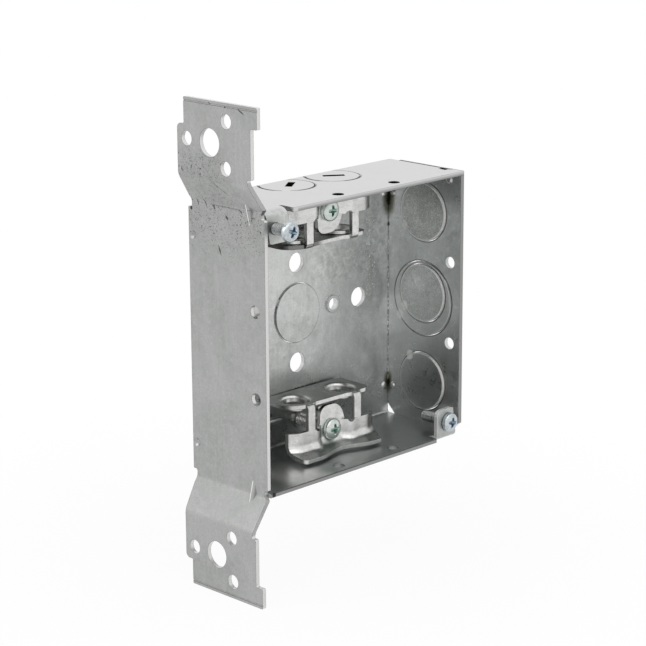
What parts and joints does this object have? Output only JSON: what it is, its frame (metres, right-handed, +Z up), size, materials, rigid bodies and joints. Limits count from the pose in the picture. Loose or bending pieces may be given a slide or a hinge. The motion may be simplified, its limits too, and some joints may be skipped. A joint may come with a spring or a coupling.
{
  "type": "square electrical box",
  "caption": "Square welded steel outlet box with knockouts, a joggled side bracket with nail holes, screwed cable clamps at top and bottom, and cover screws on corner tabs.",
  "frame": {"origin": "centre of the back wall's outer face, midway between its mounting holes", "axes": "+Z up along the bracket, the box opens towards -Y, the bracket is at -X"},
  "size_m": [0.1094, 0.0457, 0.1762],
  "materials": {
    "shell_steel": "galvanised sheet, mottled satin",
    "wall_steel": "galvanised sheet, mottled satin",
    "bracket_steel": "galvanised sheet, satin with dark specks",
    "clamp_steel": "zinc plated, satin",
    "clamp_screw_steel": "greenish zinc plate, bright",
    "cover_screw_steel": "bluish zinc plate, bright"
  },
  "bodies": {
    "box": {"box_shell": "shell_steel", "right_side_wall": "wall_steel", "bracket_side_wall": "bracket_steel"},
    "lower_clamp": {"lower_cable_clamp": "clamp_steel"},
    "upper_clamp": {"upper_cable_clamp": "clamp_steel"},
    "lower_clamp_screw": {"lower_clamp_screw": "clamp_screw_steel"},
    "upper_clamp_screw": {"upper_clamp_screw": "clamp_screw_steel"},
    "lower_cover_screw": {"lower_cover_screw": "cover_screw_steel"},
    "upper_cover_screw": {"upper_cover_screw": "cover_screw_steel"}
  },
  "joints": [
    {"name": "lower_clamp_slide", "type": "slide", "parent": "box", "child": "lower_clamp", "axis": [0, -1, 0], "range_m": [0, 0.0013]},
    {"name": "upper_clamp_slide", "type": "slide", "parent": "box", "child": "upper_clamp", "axis": [0, -1, 0], "range_m": [0, 0.002]},
    {"name": "lower_clamp_screw_turn", "type": "hinge", "parent": "lower_clamp", "child": "lower_clamp_screw", "pos_m": [0.0005, -0.0178, -0.041], "axis": [0, 1, 0], "continuous": true},
    {"name": "upper_clamp_screw_turn", "type": "hinge", "parent": "upper_clamp", "child": "upper_clamp_screw", "pos_m": [0.0005, -0.0178, 0.041], "axis": [0, 1, 0], "continuous": true},
    {"name": "lower_cover_screw_slide", "type": "slide", "parent": "box", "child": "lower_cover_screw", "axis": [0, -1, 0], "range_m": [0, 0.008]},
    {"name": "upper_cover_screw_slide", "type": "slide", "parent": "box", "child": "upper_cover_screw", "axis": [0, -1, 0], "range_m": [-0.006, 0.002]}
  ]
}
